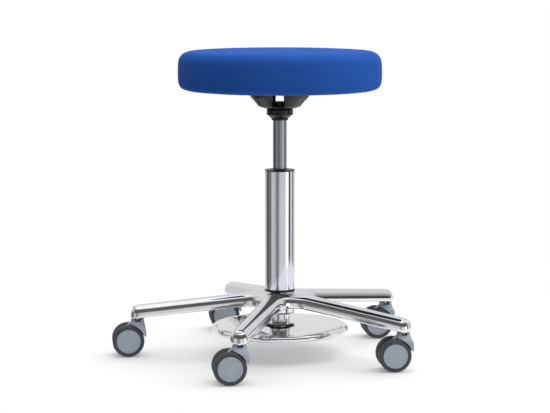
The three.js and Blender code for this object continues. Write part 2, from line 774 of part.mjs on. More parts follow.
const leverReach = Math.sqrt(
  (sleeveRadius - sleeveWall - leverTipGap) ** 2 - (leverWidth / 2) ** 2,
);
function releaseLever() {
  const low = leverTop - leverDepth;
  const blade = solid(sideExtrusion([
    [-leverTail, low + 1.5],
    [-leverTail + 1.5, low],
    [leverReach - 2.5, low],
    [leverReach, leverTop - 1.5],
    [leverReach - 1.5, leverTop],
    [-leverTail, leverTop],
  ], leverWidth));
  return cut(blade, pivotHole());
}
add('release_lever', geometryOf(releaseLever()), steel);
const pinReach = leverWidth / 2 + runGap + lugThickness;
const pivotPin = bar(pivotPinRadius, -pinReach, pinReach, coarse).rotateX(Math.PI / 2);
add('lever_pivot_pin', pivotPin.translate(leverPivotOffset, 0, pivotHeight), steel);
add('release_pin', turned([
  [0, leverTop + seatGap],
  [0.8, leverTop + seatGap],
  [releasePinRadius, leverTop + 2],
  [releasePinRadius, pinBoreTop - 6],
  [0, pinBoreTop - 6],
], coarse), steel);

// ---- the part's own frame: the middle of the footprint ----
const footprint = new THREE.Box3().setFromObject(stool, true);
const middle = footprint.getCenter(new THREE.Vector3());
stool.position.set(-middle.x, -middle.y, 0);
const part = new THREE.Group();
part.add(stool);

export default part;
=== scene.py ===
import json
import math
import random

import bmesh
import bpy
from mathutils import Matrix, Vector


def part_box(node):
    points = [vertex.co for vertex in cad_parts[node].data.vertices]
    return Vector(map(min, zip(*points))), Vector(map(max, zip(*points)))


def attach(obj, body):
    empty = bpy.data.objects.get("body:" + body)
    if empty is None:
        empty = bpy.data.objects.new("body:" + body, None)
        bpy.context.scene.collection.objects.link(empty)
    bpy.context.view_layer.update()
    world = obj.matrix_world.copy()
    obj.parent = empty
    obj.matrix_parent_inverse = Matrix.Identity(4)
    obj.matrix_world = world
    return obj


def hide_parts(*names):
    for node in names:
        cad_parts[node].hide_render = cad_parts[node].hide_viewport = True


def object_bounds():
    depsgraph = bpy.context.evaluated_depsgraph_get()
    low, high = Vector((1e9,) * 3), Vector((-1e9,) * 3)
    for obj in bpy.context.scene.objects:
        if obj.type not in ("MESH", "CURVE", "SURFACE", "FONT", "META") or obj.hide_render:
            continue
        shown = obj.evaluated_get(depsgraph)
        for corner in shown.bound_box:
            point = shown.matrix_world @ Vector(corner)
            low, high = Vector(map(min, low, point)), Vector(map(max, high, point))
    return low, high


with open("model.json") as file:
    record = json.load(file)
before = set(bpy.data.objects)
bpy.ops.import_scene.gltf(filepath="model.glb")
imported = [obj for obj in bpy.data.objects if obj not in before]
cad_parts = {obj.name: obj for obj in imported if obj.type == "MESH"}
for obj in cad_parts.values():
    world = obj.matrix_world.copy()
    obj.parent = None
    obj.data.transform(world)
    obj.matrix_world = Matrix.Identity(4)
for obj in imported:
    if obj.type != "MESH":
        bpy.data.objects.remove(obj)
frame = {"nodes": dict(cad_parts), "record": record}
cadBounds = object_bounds()
bpy.ops.object.select_all(action="DESELECT")

mm = 0.001
armCount = 5
castorNames = ["castor_%d" % (k + 1) for k in range(armCount)]


def middleOf(node):
    low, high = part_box(node)
    return (low + high) / 2


column = middleOf("column_cover")  # everything is laid out from the column's axis
floorHeight = cadBounds[0].z
print("stage: frame loaded, column axis at", round(column.x, 4), round(column.y, 4))


cameraLook = {
    "distance": 3.7465,
    "height": 0.7755,
    "tilt": 7.16,  # degrees below the horizon
    "turn": 0.15,  # degrees to the left
    "lens": 121.15,
}


def makeCamera():
    place = (column.x, column.y - cameraLook["distance"], floorHeight + cameraLook["height"])
    bpy.ops.object.camera_add(location=place)
    camera = bpy.context.object
    camera.rotation_euler = (math.radians(90 - cameraLook["tilt"]), 0, math.radians(cameraLook["turn"]))
    camera.data.lens = cameraLook["lens"]
    camera.data.sensor_width = 36
    camera.data.clip_end = 200
    bpy.context.scene.camera = camera


studio = {
    "stripes": [  # direction round the stool in degrees, 0 towards the front, and brightness
        (-180, 0.74), (-130, 0.74), (-121, 0.1), (-107, 0.1), (-98, 0.22), (-74, 0.22),
        (-64, 0.8), (-32, 0.6), (-26, 0.22), (-8, 0.36), (0, 0.8), (46, 0.86),
        (52, 2.1), (68, 2.1), (74, 0.06), (87, 0.06), (93, 0.9), (111, 0.9), (116, 0.1), (122, 0.1),
        (130, 0.74), (180, 0.74),
    ],
    "upperFront": 0.13,
    "underneath": 0.3,
    "upperBack": 0.82,
    "overhead": 1.25,
    "sunStrength": 1.5,
    "sunPlace": (0.55, 0.05, 1.0),
    "sunSpread": 100,
    "floorRadius": 0.72,
    "floorShift": (0.2, 0.1),
    "floorTone": 0.83,
    "floorGlow": 0.17,
}


class Value:
    # a shader socket that can be used in sums
    def __init__(self, tree, socket):
        self.tree, self.socket = tree, socket

    def maths(self, operation, *others, clamp=False):
        node = self.tree.nodes.new("ShaderNodeMath")
        node.operation, node.use_clamp = operation, clamp
        for place, item in enumerate((self,) + others):
            if isinstance(item, Value):
                self.tree.links.new(item.socket, node.inputs[place])
            else:
                node.inputs[place].default_value = item
        return Value(self.tree, node.outputs[0])

    def reflected(self, operation, other):
        node = self.tree.nodes.new("ShaderNodeMath")
        node.operation = operation
        node.inputs[0].default_value = other
        self.tree.links.new(self.socket, node.inputs[1])
        return Value(self.tree, node.outputs[0])

    def __add__(self, other):
        return self.maths("ADD", other)

    __radd__ = __add__

    def __mul__(self, other):
        return self.maths("MULTIPLY", other)

    __rmul__ = __mul__

    def __sub__(self, other):
        return self.maths("SUBTRACT", other)

    def __rsub__(self, other):
        return self.reflected("SUBTRACT", other)

    def __truediv__(self, other):
        return self.maths("DIVIDE", other)


class Shader:
    # a node tree with one way to add a node: its type, its settings, then its inputs
    def __init__(self, tree):
        self.tree = tree
        tree.nodes.clear()

    def add(self, kind, settings=None, output=0, **inputs):
        node = self.tree.nodes.new("ShaderNode" + kind)
        for name, setting in (settings or {}).items():
            if name == "stops":
                ramp = node.color_ramp
                while len(ramp.elements) > 1:
                    ramp.elements.remove(ramp.elements[-1])
                for place, (at, colour) in enumerate(setting):
                    stop = ramp.elements[0] if place == 0 else ramp.elements.new(at)
                    stop.position, stop.color = at, (*colour, 1)
            else:
                setattr(node, name, setting)
        for name, item in inputs.items():
            socket = node.inputs[int(name[2:]) if name.startswith("in") else name.replace("_", " ")]
            if isinstance(item, Value):
                self.tree.links.new(item.socket, socket)
            elif isinstance(item, (tuple, list)) and len(item) == 3 and len(socket.default_value) == 4:
                socket.default_value = (*item, 1)
            else:
                socket.default_value = item
        return Value(self.tree, node.outputs[output])

    def finish(self, surface, kind="OutputMaterial"):
        node = self.tree.nodes.new("ShaderNode" + kind)
        self.tree.links.new(surface.socket, node.inputs["Surface"])


def makeWorld():
    world = bpy.data.worlds.new("studio")
    bpy.context.scene.world = world
    world.use_nodes = True
    shader = Shader(world.node_tree)
    direction = shader.add("TexCoord", output=0)
    x, y, z = [shader.add("SeparateXYZ", output=k, Vector=direction) for k in range(3)]
    around = x.maths("ARCTAN2", y * -1.0)  # 0 towards the front, growing to the right
    turn = around / (2 * math.pi) + 0.5
    top = max(level for _, level in studio["stripes"])
    stops = [((angle + 180) / 360, (level / top,) * 3) for angle, level in studio["stripes"]]
    sides = shader.add("ValToRGB", {"stops": stops}, Fac=turn) * top

    def rising(value, first, last):
        return shader.add("MapRange", {"interpolation_type": "SMOOTHSTEP"}, in0=value, in1=first, in2=last)

    behind = rising(y, -0.35, 0.35)
    upper = behind * (studio["upperBack"] - studio["upperFront"]) + studio["upperFront"]
    raised = rising(z, 0.06, 0.2)
    lower = sides * (1 - raised) + upper * raised
    overhead = rising(z, 0.7, 0.9)
    dimmed = 1 - rising(z * -1.0, 0.25, 0.5) * (1 - studio["underneath"])
    glow = lower * dimmed * (1 - overhead) + overhead * studio["overhead"]
    seen = shader.add("LightPath", output=0)  # the camera itself sees plain white
    level = glow * (1 - seen) + seen
    shader.finish(shader.add("Background", Color=(1, 1, 1), Strength=level), "OutputWorld")


def makeLight():
    bpy.ops.object.light_add(type="SUN")
    sun = bpy.context.object
    sun.data.energy = studio["sunStrength"]
    sun.data.angle = math.radians(studio["sunSpread"])
    sun.visible_glossy = False  # the metal mirrors only the world
    sun.rotation_euler = Vector(studio["sunPlace"]).to_track_quat("Z", "Y").to_euler()


def makeFloor():
    shift = studio["floorShift"]
    place = (column.x + shift[0], column.y + shift[1], floorHeight)
    radius = studio["floorRadius"]
    bpy.ops.mesh.primitive_circle_add(vertices=96, radius=radius, fill_type="NGON", location=place)
    floor = bpy.context.object
    floor.name = "studio_floor"
    material = bpy.data.materials.new("studio_floor")
    material.use_nodes = True
    shader = Shader(material.node_tree)
    tone = (studio["floorTone"],) * 3
    shader.finish(shader.add(
        "BsdfPrincipled", Base_Color=tone, Roughness=0.9, Specular_IOR_Level=0.1,
        Emission_Color=(1, 1, 1), Emission_Strength=studio["floorGlow"],
    ))
    floor.data.materials.append(material)


makeCamera()
makeWorld()
makeLight()
makeFloor()
bpy.context.scene.view_settings.view_transform = "Standard"
print("stage: camera, light and floor")


def newMaterial(name):
    material = bpy.data.materials.new(name)
    material.use_nodes = True
    return material, Shader(material.node_tree)


def place3d(shader, scale=(1, 1, 1)):
    spot = shader.add("TexCoord", output=3)
    return shader.add("Mapping", {"vector_type": "POINT"}, Vector=spot, Scale=scale)


def polishedAluminium():
    material, shader = newMaterial("polished_aluminium")
    spot = place3d(shader)
    smears = shader.add("TexNoise", Vector=spot, Scale=38, Detail=4, Roughness=0.6)
    scuffs = shader.add("TexNoise", Vector=spot, Scale=420, Detail=2, Roughness=0.5)
    rough = smears * 0.07 + scuffs * 0.03 + 0.03
    stops = [(0.3, (0.69, 0.705, 0.72)), (0.7, (0.76, 0.77, 0.785))]
    tone = shader.add("ValToRGB", {"stops": stops}, Fac=smears)
    bump = shader.add("Bump", Strength=0.04, Distance=0.0004, Height=smears)
    shader.finish(shader.add("BsdfPrincipled", Base_Color=tone, Metallic=1.0, Roughness=rough, Normal=bump))
    return material


def brushedSteel(name, tint, along, rough, wear=1.0):
    material, shader = newMaterial(name)
    streaks = shader.add("TexNoise", Vector=place3d(shader, along), Scale=1, Detail=5, Roughness=0.65)
    cloud = shader.add("TexNoise", Vector=place3d(shader), Scale=26, Detail=3)
    dark = tuple(0.86 * c for c in tint)
    tone = shader.add("ValToRGB", {"stops": [(0.3, dark), (0.7, tint)]}, Fac=streaks)
    bump = shader.add("Bump", Strength=0.05 * wear, Distance=0.00005, Height=streaks)
    roughness = (streaks * 0.1 + cloud * 0.05) * wear + rough
    shader.finish(shader.add(
        "BsdfPrincipled", Base_Color=tone, Metallic=1.0, Roughness=roughness, Normal=bump,
    ))
    return material


def moulded(name, tint, rough, grain, depth, coat=0.0, shine=0.5):
    material, shader = newMaterial(name)
    spot = place3d(shader)
    cells = shader.add("TexVoronoi", {"feature": "SMOOTH_F1"}, Vector=spot, Scale=grain)
    cloud = shader.add("TexNoise", Vector=spot, Scale=45, Detail=4)
    light = tuple(min(1.0, 1.16 * c + 0.004) for c in tint)
    tone = shader.add("ValToRGB", {"stops": [(0.3, tint), (0.75, light)]}, Fac=cloud)
    bump = shader.add("Bump", Strength=0.35, Distance=depth, Height=cells)
    roughness = cloud * 0.14 + (rough - 0.07)
    shader.finish(shader.add(
        "BsdfPrincipled", Base_Color=tone, Roughness=roughness, Normal=bump,
        Specular_IOR_Level=shine, Coat_Weight=coat, Coat_Roughness=0.08,
    ))
    return material


leatherLook = {
    "deep": (0.022, 0.1, 0.43),
    "raised": (0.029, 0.12, 0.5),
    "grain": 900,
    "pores": 2600,
    "roughness": 0.6,
}


def blueLeather():
    material, shader = newMaterial("blue_leather")
    spot = place3d(shader)
    drift = shader.add("TexNoise", Vector=spot, Scale=14, Detail=3)
    cells = {"feature": "SMOOTH_F1"}
    grain = shader.add("TexVoronoi", cells, Vector=spot, Scale=leatherLook["grain"], Randomness=0.95)
    pores = shader.add("TexNoise", Vector=spot, Scale=leatherLook["pores"], Detail=3, Roughness=0.6)
    relief = grain * 0.75 + pores * 0.25
    shade = relief * 0.45 + drift * 0.55
    tone = shader.add(
        "ValToRGB", {"stops": [(0.3, leatherLook["deep"]), (0.65, leatherLook["raised"])]}, Fac=shade,
    )
    bump = shader.add("Bump", Strength=0.45, Distance=0.00025, Height=relief)
    roughness = relief * 0.12 + drift * 0.08 + (leatherLook["roughness"] - 0.1)
    shader.finish(shader.add(
        "BsdfPrincipled", Base_Color=tone, Roughness=roughness, Normal=bump,
        Specular_IOR_Level=0.01,
    ))
    return material


def wood():
    material, shader = newMaterial("black_ply")
    grain = shader.add("TexNoise", Vector=place3d(shader, (30, 260, 400)), Scale=1, Detail=5, Roughness=0.6)
    stops = [(0.3, (0.012, 0.011, 0.01)), (0.7, (0.026, 0.023, 0.02))]
    tone = shader.add("ValToRGB", {"stops": stops}, Fac=grain)
    bump = shader.add("Bump", Strength=0.2, Distance=0.0003, Height=grain)
    shader.finish(shader.add("BsdfPrincipled", Base_Color=tone, Roughness=0.6, Normal=bump))
    return material


def foam():
    material, shader = newMaterial("seat_foam")
    cells = shader.add("TexVoronoi", Vector=place3d(shader), Scale=700)
    stops = [(0.1, (0.62, 0.55, 0.3)), (0.6, (0.78, 0.73, 0.48))]
    tone = shader.add("ValToRGB", {"stops": stops}, Fac=cells)
    bump = shader.add("Bump", Strength=0.6, Distance=0.0008, Height=cells)
    shader.finish(shader.add("BsdfPrincipled", Base_Color=tone, Roughness=0.95, Normal=bump))
    return material


finishes = {
    "polished_aluminium": polishedAluminium(),
    "brushed_steel": brushedSteel("brushed_steel", (0.68, 0.72, 0.77), (1600, 1600, 5), 0.05),
    "tube_steel": brushedSteel("tube_steel", (0.3, 0.32, 0.35), (1600, 1600, 8), 0.2),
    "bright_steel": brushedSteel("bright_steel", (0.55, 0.56, 0.58), (300, 300, 300), 0.22),
    "plate_steel": brushedSteel("plate_steel", (0.87, 0.885, 0.905), (300, 300, 300), 0.04, 0.2),
    "black_plastic": moulded("black_plastic", (0.012, 0.012, 0.014), 0.36, 1400, 0.00008),
    "black_enamel": moulded("black_enamel", (0.004, 0.004, 0.005), 0.3, 500, 0.00006, 0.12, 0.3),
    "grey_plastic": moulded("grey_plastic", (0.33, 0.375, 0.425), 0.45, 1500, 0.0001),
    "tyre_grey": moulded("tyre_grey", (0.047, 0.052, 0.062), 0.6, 1100, 0.00015),
    "blue_leather": blueLeather(),
    "black_ply": wood(),
    "seat_foam": foam(),
}
print("stage: materials")


def softened(outline, steps=5):
    # corners given as [radius, height, rounding] become small arcs
    points = []
    count = len(outline)
    for place, corner in enumerate(outline):
        here = Vector(corner[:2])
        if len(corner) < 3 or not 0 < place < count - 1:
            points.append(here)
            continue
        before = (Vector(outline[place - 1][:2]) - here).normalized()
        after = (Vector(outline[place + 1][:2]) - here).normalized()
        half = before.angle(after) / 2
        if half > math.radians(88):
            points.append(here)
            continue
        reach = corner[2] / math.tan(half)
        centre = here + (before + after).normalized() * corner[2] / math.sin(half)
        first = here + before * reach - centre
        turn = first.angle_signed(here + after * reach - centre)
        for step in range(steps + 1):
            points.append(centre + Matrix.Rotation(-turn * step / steps, 2) @ first)
    return points


def arc(x, y, radius, start, end, steps):
    angles = [math.radians(start + (end - start) * k / steps) for k in range(steps + 1)]
    return [[x + radius * math.cos(a), y + radius * math.sin(a)] for a in angles]


def turned(name, outline, sides=96, steps=5):
    # one outline swung round +Z: rings are extruded from a circle, one after another
    points = [p * mm for p in softened(outline, steps)]
    bpy.ops.object.select_all(action="DESELECT")
    solidStart = points[0].x < 1e-7
    first = points[1] if solidStart else points[0]
    fill = "TRIFAN" if solidStart else "NOTHING"
    place = (0, 0, first.y)
    bpy.ops.mesh.primitive_circle_add(vertices=sides, radius=first.x, fill_type=fill, location=place)
    piece = bpy.context.object
    piece.name = piece.data.name = name
    bpy.ops.object.transform_apply(location=True, rotation=True, scale=True)
    bpy.ops.object.mode_set(mode="EDIT")
    bpy.ops.mesh.select_mode(type="EDGE")
    bpy.ops.mesh.select_all(action="SELECT")
    if solidStart:
        bpy.ops.mesh.region_to_loop()
    now = first
    for point in points[2 if solidStart else 1:]:
        rise = (0, 0, point.y - now.y)
        bpy.ops.mesh.extrude_edges_move(TRANSFORM_OT_translate={"value": rise})
        if point.x < 1e-7:
            bpy.ops.mesh.merge(type="CENTER")
            break
        share = point.x / now.x
        bpy.ops.transform.resize(value=(share, share, 1), center_override=(0, 0, point.y))
        now = point
    bpy.ops.mesh.select_all(action="SELECT")
    bpy.ops.mesh.remove_doubles(threshold=1e-6)
    bpy.ops.mesh.normals_make_consistent(inside=False)
    bpy.ops.object.mode_set(mode="OBJECT")
    return piece


def hoop(name, section, sides=96):
    # a closed section swung round, starting halfway along its inner side
    start = [section[0][0], (section[0][1] + section[-1][1]) / 2]
    return turned(name, [start, *section, start], sides)


def moved(piece, place=(0, 0, 0), turn=(0, 0, 0)):
    bpy.ops.object.select_all(action="DESELECT")
    piece.select_set(True)
    bpy.context.view_layer.objects.active = piece
    piece.location = place
    piece.rotation_euler = turn
    bpy.ops.object.transform_apply(location=True, rotation=True, scale=True)
    return piece


def smoothed(piece, angle=32):
    bpy.ops.object.select_all(action="DESELECT")
    piece.select_set(True)
    bpy.context.view_layer.objects.active = piece
    bpy.ops.object.shade_smooth_by_angle(angle=math.radians(angle), keep_sharp_edges=False)
    return piece


def applyAll(piece):
    bpy.ops.object.select_all(action="DESELECT")
    piece.select_set(True)
    bpy.context.view_layer.objects.active = piece
    for modifier in list(piece.modifiers):
        bpy.ops.object.modifier_apply(modifier=modifier.name)
    return piece


def cutBy(piece, *tools, operation="DIFFERENCE"):
    for tool in tools:
        modifier = piece.modifiers.new("cut", "BOOLEAN")
        modifier.operation, modifier.object, modifier.solver = operation, tool, "EXACT"
    applyAll(piece)
    for tool in tools:
        bpy.data.objects.remove(tool)
    return piece


def copyOf(piece, name):
    twin = piece.copy()
    twin.data = piece.data.copy()
    twin.name = twin.data.name = name
    bpy.context.scene.collection.objects.link(twin)
    return twin


def joined(pieces):
    bpy.ops.object.select_all(action="DESELECT")
    for piece in pieces:
        piece.select_set(True)
    bpy.context.view_layer.objects.active = pieces[0]
    if len(pieces) > 1:
        bpy.ops.object.join()
    return pieces[0]


def dressed(piece, finish, body, slotName, *nodes):
    piece.data.materials.clear()
    piece.data.materials.append(finishes[finish])
    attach(piece, body)
    if nodes:
        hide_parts(*nodes)
    return piece


def onColumn(piece):
    return moved(piece, (column.x, column.y, 0))


def span(node):
    low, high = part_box(node)
    return low.z / mm, high.z / mm, (high.x - low.x) / 2 / mm


columnLook = {
    "coverWall": 2.0,
    "edge": 0.5,
    "ringEdge": 0.9,
    "bushRoom": 2.3,  # between the cap's bush and the outside of the standpipe
    "rimHeight": 2.3,  # of the cap over the cover
    "tubeWall": 1.5,
    "play": 0.3,
}


def makeColumn():
    look = columnLook
    play = look["play"]
    tube = span("pressure_tube")[2]
    low, high, radius = span("column_cover")
    inner, edge = radius - look["coverWall"], look["edge"]
    section = [[inner, low, edge], [radius, low, edge], [radius, high, edge], [inner, high, edge]]
    cover = smoothed(onColumn(hoop("column_cover_tube", section, 128)))
    dressed(cover, "brushed_steel", "base", "brushed_steel", "column_cover")

    low, high, radius = span("column_lower_ring")
    edge = look["ringEdge"]
    section = [[inner, low, 0.3], [radius, low, edge], [radius, high, edge], [inner, high, 0.3]]
    ring = smoothed(onColumn(hoop("column_lower_trim", section)))
    dressed(ring, "black_plastic", "base", "black_plastic", "column_lower_ring")

    bottom, top, radius = span("column_cap")
    coverTop = span("column_cover")[1] + play
    bush = span("standpipe")[2] - look["bushRoom"]
    rim = coverTop + look["rimHeight"]
    section = [[tube + play, bottom, 0.5], [bush, bottom, 0.5], [bush, coverTop], [radius, coverTop, 0.6],
               [radius, rim - 0.4, 0.9], [radius - 3, rim, 0.8], [tube + 5, top - 1.0, 1.0],
               [tube + 2.6, top, 0.6], [tube + play, top - 1.0, 0.3]]
    cap = smoothed(onColumn(hoop("column_top_cap", section)))
    dressed(cap, "black_plastic", "base", "black_plastic", "column_cap")

    low, high, radius = span("pressure_tube")
    inner = radius - look["tubeWall"]
    outline = [[inner, high - 8], [inner, low, 0.3], [radius, low, 0.3], [radius, high - 15],
               [radius - 0.5, high, 0.6], [5, high, 0.4], [5, high + 1.6, 0.4], [0, high + 1.6]]
    tubePiece = smoothed(onColumn(turned("gas_spring_tube", outline)))
    dressed(tubePiece, "tube_steel", "seat", "brushed_steel", "pressure_tube")

    low, high, radius = span("buffer_ring")
    section = [[tube + play, low, 0.4], [radius, low, 1.8], [radius, high, 1.6], [tube + play, high, 0.3]]
    buffer = smoothed(onColumn(hoop("buffer_collar", section)))
    dressed(buffer, "black_plastic", "seat", "black_plastic", "buffer_ring")


makeColumn()
print("stage: column")


mountLook = {
    "wall": 4.0,
    "neck": 20.0,  # of the collar, which the bowl sits round
    "collarShoulder": 13.4,  # under the collar's top
    "slotWidth": 24.0,
    "slotReach": (45.0, 105.0),  # centres of a slot's two round ends
    "slotTurn": -4.0,
    "slots": 4,
}


def makeCollar():
    low, high, radius = span("seat_collar")
    tube = span("pressure_tube")[2]
    shoulder, neck = high - mountLook["collarShoulder"], mountLook["neck"]
    outline = [[tube + 0.3, low + 6], [tube + 0.3, low, 0.3], [18.6, low, 1.2], [21.5, low + 3.6, 6],
               [radius, low + 7.2, 3.2], [radius, low + 16.5, 1.2], [radius - 1.2, shoulder, 0.8],
               [neck, shoulder, 0.4], [neck, high - 0.1, 0.8], [tube - 0.2, high - 0.1, 0.3],
               [tube + 0.3, low + 6]]
    collar = smoothed(onColumn(turned("seat_cone_collar", outline)))
    dressed(collar, "black_enamel", "seat", "black_enamel", "seat_collar")


def slotTool(low, angle):
    # an upright bar with round ends, from the bowl's floor to past its rim
    near, far = mountLook["slotReach"]
    radius, place = mountLook["slotWidth"] / 2 * mm, (near * mm, 0, (low + 20) * mm)
    bpy.ops.object.select_all(action="DESELECT")
    bpy.ops.mesh.primitive_cylinder_add(vertices=48, radius=radius, depth=80 * mm, location=place)
    tool = bpy.context.object
    bpy.ops.object.mode_set(mode="EDIT")
    bpy.ops.mesh.select_all(action="DESELECT")
    bpy.ops.object.mode_set(mode="OBJECT")
    for vertex in tool.data.vertices:
        vertex.select = vertex.co.x > -1e-6
    bpy.ops.object.mode_set(mode="EDIT")
    bpy.ops.transform.translate(value=((far - near) * mm, 0, 0))
    bpy.ops.object.mode_set(mode="OBJECT")
    moved(tool, tool.location)
    return moved(tool, turn=(0, 0, angle))


def makeBracket():
    look = mountLook
    low, high, radius = span("seat_bracket")
    wall, hole = look["wall"], look["neck"] + 0.3
    outer = [[hole, low, 0.3], [31, low, 2.5], [43.5, low + 4.2, 8], [52.5, low + 15, 14],
             [59.5, low + 22.5, 14], [66, high - wall - 0.5, 5], [radius, high - wall, 1.2]]
    inner = [[radius, high, 1.2], [64, high, 3], [55.5, low + 24.6, 10], [48.3, low + 17, 10],
             [42, low + 8.2, 8], [31, low + wall, 2], [hole, low + wall, 0.3], [hole, low + 1]]
    bowl = turned("seat_bowl_bracket", [[hole, low + 1], *outer, *inner], 128, 6)
    turns = [math.radians(look["slotTurn"] - 90 + 360 / look["slots"] * k) for k in range(look["slots"])]
    tools = [slotTool(low, angle) for angle in turns]
    cutBy(bowl, *tools)
    bevel = bowl.modifiers.new("edges", "BEVEL")
    bevel.width, bevel.segments, bevel.angle_limit = 0.5 * mm, 2, math.radians(50)
    bevel.limit_method = "ANGLE"
    applyAll(bowl)
    smoothed(onColumn(bowl), 40)
    dressed(bowl, "black_enamel", "seat", "black_enamel", "seat_bracket")


makeCollar()
makeBracket()
print("stage: seat mount")


seatLook = {
    "topRoom": 0.7,  # the middle starts this much over the padding and is blown up further
    "sideRoom": 1.9,  # the sides start this much proud and are drawn in as the top swells
    "mostSwell": 1.6,
    "voxel": 5.0,
    "frames": 20,
    "pressure": 8.0,
    "topEdge": 22.5,
    "lowEdge": 16.0,
    "crown": 2.5,
    "hemRadius": 165.0,
    "hemRoom": 8.0,  # the closed inner side of the cover lies this high, inside the board
    "pleats": 76,
    "pleatDepth": 0.7,
    "staples": 60,
    "staple": (1.1, 9.5, 0.7),
}


def cushionShape():
    look = seatLook
    low, high, radius = span("seat_cover")
    side, room = radius + look["sideRoom"], look["topRoom"]
    lowEdge, topEdge, crown, hem = look["lowEdge"], look["topEdge"], look["crown"], look["hemRadius"]
    inside, under = low + look["hemRoom"], low + 0.3
    outline = [[r, inside] for r in (0, 30, 80, 130, hem)]
    outline += [[hem, under], [hem + 12, under], [side - lowEdge, under]]
    outline += arc(side - lowEdge, under + lowEdge, lowEdge, -84, 0, 8)
    sideLow, sideHigh = under + lowEdge, high - topEdge - crown
    bulge = 0.8
    for k in range(1, 5):
        share = k / 5
        outline.append([side + bulge * math.sin(math.pi * share), sideLow + (sideHigh - sideLow) * share])
    outline += arc(side - topEdge, sideHigh, topEdge, 0, 82, 10)
    flat = side - topEdge
    for r in (172, 162, 148, 130, 105, 80, 55, 30, 12, 0):
        share = r / flat
        outline.append([r, high - crown * share ** 2.5 + room * (1 - share ** 4)])
    return onColumn(turned("seat_cushion", outline, 128))


def remeshed(piece, voxel):
    remesh = piece.modifiers.new("even mesh", "REMESH")
    remesh.mode, remesh.voxel_size, remesh.use_smooth_shade = "VOXEL", voxel * mm, True
    return applyAll(piece)


def heldPoints(piece):
    # the cover is stapled to the board: its underside can't swell
    ceiling = (span("seat_cover")[0] + 10.5) * mm
    reach = (seatLook["hemRadius"] + 24) * mm
    low = [v for v in piece.data.vertices if v.co.z < ceiling]
    return [v.index for v in low if (v.co.xy - column.xy).length < reach]


def blownUp(piece):
    look = seatLook
    scene = bpy.context.scene
    scene.frame_start, scene.frame_end = 1, look["frames"]
    scene.frame_set(1)
    start = [v.co.copy() for v in piece.data.vertices]
    held = piece.vertex_groups.new(name="held")
    held.add(heldPoints(piece), 1.0, "REPLACE")
    cloth = piece.modifiers.new("padding", "CLOTH")
    cloth.settings.quality = 5
    cloth.settings.mass = 0.4
    cloth.settings.tension_stiffness = cloth.settings.compression_stiffness = 18
    cloth.settings.shear_stiffness = 8
    cloth.settings.bending_stiffness = 1.2
    cloth.settings.use_pressure = True
    cloth.settings.uniform_pressure_force = look["pressure"]
    cloth.settings.effector_weights.gravity = 0
    cloth.settings.vertex_group_mass = "held"
    cloth.point_cache.frame_start, cloth.point_cache.frame_end = 1, look["frames"]
    for number in range(1, look["frames"] + 1):
        scene.frame_set(number)
    graph = bpy.context.evaluated_depsgraph_get()
    swollen = [v.co.copy() for v in piece.evaluated_get(graph).data.vertices]
    piece.modifiers.remove(cloth)
    scene.frame_set(1)
    most = look["mostSwell"] * mm
    for vertex, before, after in zip(piece.data.vertices, start, swollen):
        move = after - before
        if move.length > most:
            move *= most / move.length
        vertex.co = before + move
    return piece


def evened(piece, rounds):
    smooth = piece.modifiers.new("evened", "SMOOTH")
    smooth.iterations, smooth.factor = rounds, 0.5
    return applyAll(piece)


def makeSeat():
    look = seatLook
    cushion = remeshed(cushionShape(), look["voxel"])
    blownUp(cushion)
    evened(cushion, 2)
    finer = cushion.modifiers.new("finer", "SUBSURF")
    finer.levels = finer.render_levels = 1
    applyAll(cushion)
    pleatHem(cushion)
    smoothed(cushion, 70)
    dressed(cushion, "blue_leather", "seat", "blue_leather", "seat_cover")


def pleatHem(cushion):
    # the cover gathers in small folds where it is pulled round the board
    look = seatLook
    rng = random.Random(11)
    depths = [rng.uniform(0.35, 1.0) for _ in range(look["pleats"])]
    shifts = [rng.uniform(-0.25, 0.25) for _ in range(look["pleats"])]
    floor = span("seat_cover")[0] * mm
    inner, outer = look["hemRadius"] * mm, (look["hemRadius"] + 34) * mm
    for vertex in cushion.data.vertices:
        offset = vertex.co.xy - column.xy
        radius = offset.length
        if vertex.co.z > floor + 0.006 or not inner - 0.002 < radius < outer:
            continue
        turn = (math.atan2(offset.y, offset.x) / (2 * math.pi) + 0.5) * look["pleats"]
        number = int(turn) % look["pleats"]
        across = (turn - int(turn) + shifts[number]) * 2 - 1
        ridge = max(0.0, 1 - abs(across)) ** 1.5
        fade = min(1.0, (outer - radius) / 0.02)
        vertex.co.z += look["pleatDepth"] * mm * depths[number] * ridge * fade


def makeStaples():
    look = seatLook
    floor = span("seat_cover")[0]
    bpy.ops.object.select_all(action="DESELECT")
    bpy.ops.mesh.primitive_cube_add(size=1)
    staple = bpy.context.object
    staple.name = staple.data.name = "hem_staples"
    staple.scale = [side * mm for side in look["staple"]]
    bpy.ops.object.transform_apply(location=True, rotation=True, scale=True)
    bpy.ops.object.mode_set(mode="EDIT")
    bpy.ops.mesh.select_all(action="SELECT")
    bpy.ops.mesh.bevel(offset=0.00025, segments=1)
    bpy.ops.object.mode_set(mode="OBJECT")
    rng = random.Random(5)
    pieces = []
    for k in range(look["staples"]):
        angle = 2 * math.pi * (k + rng.uniform(-0.2, 0.2)) / look["staples"]
        radius = (look["hemRadius"] + 7 + rng.uniform(-1, 1)) * mm
        copy = copyOf(staple, "staple")
        place = (radius * math.cos(angle), radius * math.sin(angle), (floor + 0.1) * mm)
        moved(copy, place, (0, 0, angle + rng.uniform(-0.12, 0.12)))
        pieces.append(copy)
    bpy.data.objects.remove(staple)
    staples = joined(pieces)
    staples.name = "hem_staples"
    onColumn(staples)
    dressed(staples, "bright_steel", "seat", "bright_steel")


makeSeat()
makeStaples()
print("stage: seat")


